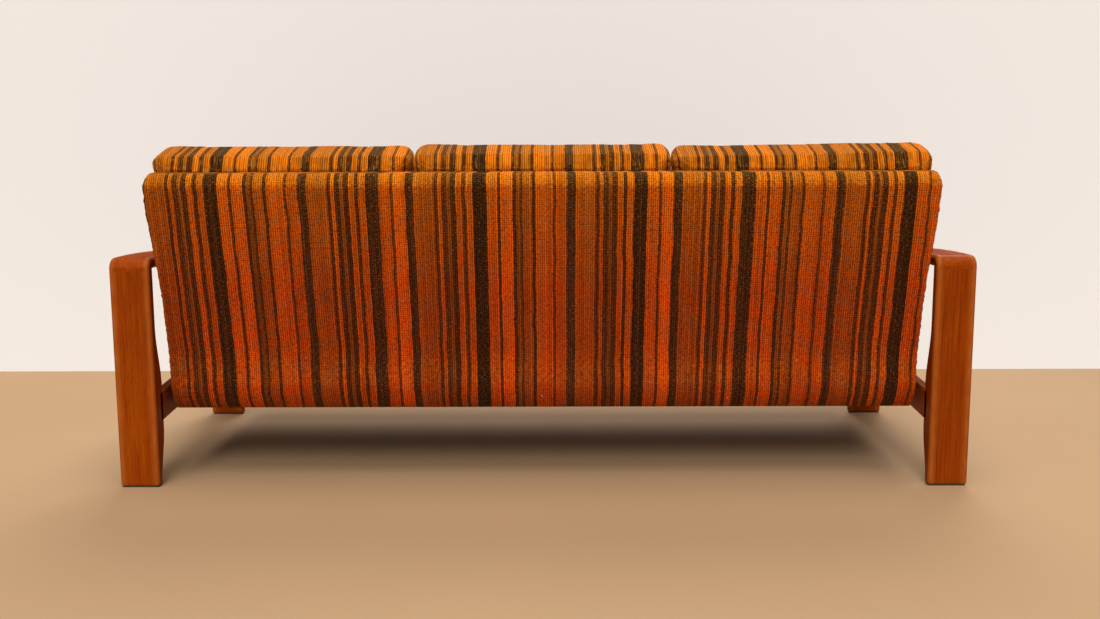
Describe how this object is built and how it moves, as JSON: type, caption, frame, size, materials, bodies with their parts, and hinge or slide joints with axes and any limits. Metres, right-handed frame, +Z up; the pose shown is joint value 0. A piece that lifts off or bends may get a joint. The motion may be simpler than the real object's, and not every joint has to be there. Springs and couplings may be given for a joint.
{
  "type": "three-seat sofa",
  "caption": "Three-seat sofa with arched wooden side frames, an upholstered seat and back hung between them, and loose cushions in striped wool.",
  "frame": {"origin": "middle of the floor area under the sofa, on the floor", "axes": "front faces -Y, rear faces +Y, the sitter's left is +X, +Z is up"},
  "size_m": [1.99, 0.8058, 0.796],
  "materials": {
    "teak": "oiled, satin",
    "beech": "planed, unfinished",
    "hardboard": "smooth hardboard",
    "striped_wool": "ribbed wool with a boucle yarn",
    "foam": "open-cell foam",
    "felt": "needled felt",
    "webbing": "woven elastic webbing",
    "dust_cloth": "thin woven cloth",
    "steel": "zinc plated",
    "zip": "brass teeth on a brown tape",
    "glide": "moulded"
  },
  "bodies": {
    "frame": {"left_rear_leg": "teak", "right_rear_leg": "teak", "left_front_leg": "teak", "right_front_leg": "teak", "left_armrest": "teak", "right_armrest": "teak", "left_side_rail": "teak", "right_side_rail": "teak", "arm_dowels": "beech", "leg_glides": "glide", "glide_nails": "steel", "seat_front_rail": "beech", "seat_rear_rail": "beech", "seat_left_rail": "beech", "seat_right_rail": "beech", "seat_cross_rails": "beech", "corner_blocks": "beech", "seat_webbing": "webbing", "seat_webbing_long": "webbing", "seat_deck_pad": "felt", "seat_base_cover": "striped_wool", "dust_cover": "dust_cloth", "back_left_stile": "beech", "back_right_stile": "beech", "back_mid_stiles": "beech", "back_top_rail": "beech", "back_bottom_rail": "beech", "back_webbing": "webbing", "back_board": "hardboard", "back_padding": "foam", "back_top_roll": "foam", "back_tuck_pad": "foam", "back_cover": "striped_wool", "side_bolts": "steel", "side_washers": "steel", "side_spacers": "teak", "side_nuts": "steel", "back_bolts": "steel", "back_nuts": "steel"},
    "seat_cushion_left": {"seat_cushion_left": "striped_wool", "seat_core_left": "foam", "seat_zip_left": "zip"},
    "seat_cushion_centre": {"seat_cushion_centre": "striped_wool", "seat_core_centre": "foam", "seat_zip_centre": "zip"},
    "seat_cushion_right": {"seat_cushion_right": "striped_wool", "seat_core_right": "foam", "seat_zip_right": "zip"},
    "back_cushion_left": {"back_cushion_left": "striped_wool", "back_core_left": "foam", "back_zip_left": "zip"},
    "back_cushion_centre": {"back_cushion_centre": "striped_wool", "back_core_centre": "foam", "back_zip_centre": "zip"},
    "back_cushion_right": {"back_cushion_right": "striped_wool", "back_core_right": "foam", "back_zip_right": "zip"}
  },
  "joints": [
    {"name": "seat_left_slide", "type": "slide", "parent": "frame", "child": "seat_cushion_left", "axis": [0, -0.9981, 0.061], "range_m": [0, 0.6]},
    {"name": "seat_centre_slide", "type": "slide", "parent": "frame", "child": "seat_cushion_centre", "axis": [0, -0.9981, 0.061], "range_m": [0, 0.6]},
    {"name": "seat_right_slide", "type": "slide", "parent": "frame", "child": "seat_cushion_right", "axis": [0, -0.9981, 0.061], "range_m": [0, 0.6]},
    {"name": "back_left_lift", "type": "slide", "parent": "frame", "child": "back_cushion_left", "axis": [0, 0.2334, 0.9724], "range_m": [0, 0.45]},
    {"name": "back_centre_lift", "type": "slide", "parent": "frame", "child": "back_cushion_centre", "axis": [0, 0.2334, 0.9724], "range_m": [0, 0.45]},
    {"name": "back_right_lift", "type": "slide", "parent": "frame", "child": "back_cushion_right", "axis": [0, 0.2334, 0.9724], "range_m": [0, 0.45]}
  ]
}
